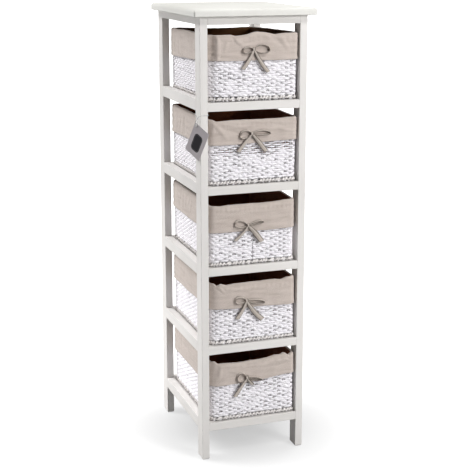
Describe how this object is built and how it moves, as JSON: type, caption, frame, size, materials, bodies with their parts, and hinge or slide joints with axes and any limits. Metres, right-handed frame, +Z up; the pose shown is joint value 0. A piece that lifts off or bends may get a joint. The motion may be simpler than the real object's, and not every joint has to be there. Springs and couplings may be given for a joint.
{
  "type": "chest of drawers",
  "caption": "Tall narrow open wooden chest with a solid top, whose drawers are woven paper-rope baskets with fabric liners and bows that slide on thin shelves.",
  "frame": {"origin": "middle of the unit's footprint on the floor", "axes": "+X to the right seen from the front, +Y to the rear, +Z up; the drawers pull out along -Y"},
  "size_m": [0.2734, 0.3411, 0.98],
  "materials": {
    "frame_paint": "satin",
    "top_paint": "satin",
    "shelf_board": "satin",
    "dowel_wood": "matte",
    "screw_steel": "satin",
    "paper_rope": "matte",
    "wire_paint": "satin",
    "liner_cotton": "matte",
    "bow_ribbon": "matte",
    "tag_card": "matte",
    "eyelet_metal": "satin",
    "loop_plastic": "gloss"
  },
  "bodies": {
    "frame": {"post_front_left": "frame_paint", "post_front_right": "frame_paint", "post_rear_left": "frame_paint", "post_rear_right": "frame_paint", "top_panel": "top_paint", "top_panel_screws": "screw_steel", "top_rail_front": "frame_paint", "top_rail_rear": "frame_paint", "top_rail_left": "frame_paint", "top_rail_right": "frame_paint", "rail_1_front": "frame_paint", "rail_1_rear": "frame_paint", "rail_1_left": "frame_paint", "rail_1_right": "frame_paint", "shelf_1": "shelf_board", "rail_2_front": "frame_paint", "rail_2_rear": "frame_paint", "rail_2_left": "frame_paint", "rail_2_right": "frame_paint", "shelf_2": "shelf_board", "rail_3_front": "frame_paint", "rail_3_rear": "frame_paint", "rail_3_left": "frame_paint", "rail_3_right": "frame_paint", "shelf_3": "shelf_board", "rail_4_front": "frame_paint", "rail_4_rear": "frame_paint", "rail_4_left": "frame_paint", "rail_4_right": "frame_paint", "shelf_4": "shelf_board", "rail_5_front": "frame_paint", "rail_5_rear": "frame_paint", "rail_5_left": "frame_paint", "rail_5_right": "frame_paint", "shelf_5": "shelf_board", "dowels_front_rear": "dowel_wood", "dowels_side": "dowel_wood", "hang_tag": "tag_card", "tag_eyelet": "eyelet_metal", "tag_loop": "loop_plastic"},
    "drawer_1": {"basket_1": "paper_rope", "wire_frame_1": "wire_paint", "liner_1": "liner_cotton", "bow_1": "bow_ribbon"},
    "drawer_2": {"basket_2": "paper_rope", "wire_frame_2": "wire_paint", "liner_2": "liner_cotton", "bow_2": "bow_ribbon"},
    "drawer_3": {"basket_3": "paper_rope", "wire_frame_3": "wire_paint", "liner_3": "liner_cotton", "bow_3": "bow_ribbon"},
    "drawer_4": {"basket_4": "paper_rope", "wire_frame_4": "wire_paint", "liner_4": "liner_cotton", "bow_4": "bow_ribbon"},
    "drawer_5": {"basket_5": "paper_rope", "wire_frame_5": "wire_paint", "liner_5": "liner_cotton", "bow_5": "bow_ribbon"}
  },
  "joints": [
    {"name": "drawer_1_slide", "type": "slide", "parent": "frame", "child": "drawer_1", "axis": [0, -1, 0], "range_m": [0, 0.28]},
    {"name": "drawer_2_slide", "type": "slide", "parent": "frame", "child": "drawer_2", "axis": [0, -1, 0], "range_m": [0, 0.28]},
    {"name": "drawer_3_slide", "type": "slide", "parent": "frame", "child": "drawer_3", "axis": [0, -1, 0], "range_m": [0, 0.28]},
    {"name": "drawer_4_slide", "type": "slide", "parent": "frame", "child": "drawer_4", "axis": [0, -1, 0], "range_m": [0, 0.28]},
    {"name": "drawer_5_slide", "type": "slide", "parent": "frame", "child": "drawer_5", "axis": [0, -1, 0], "range_m": [0, 0.28]}
  ]
}
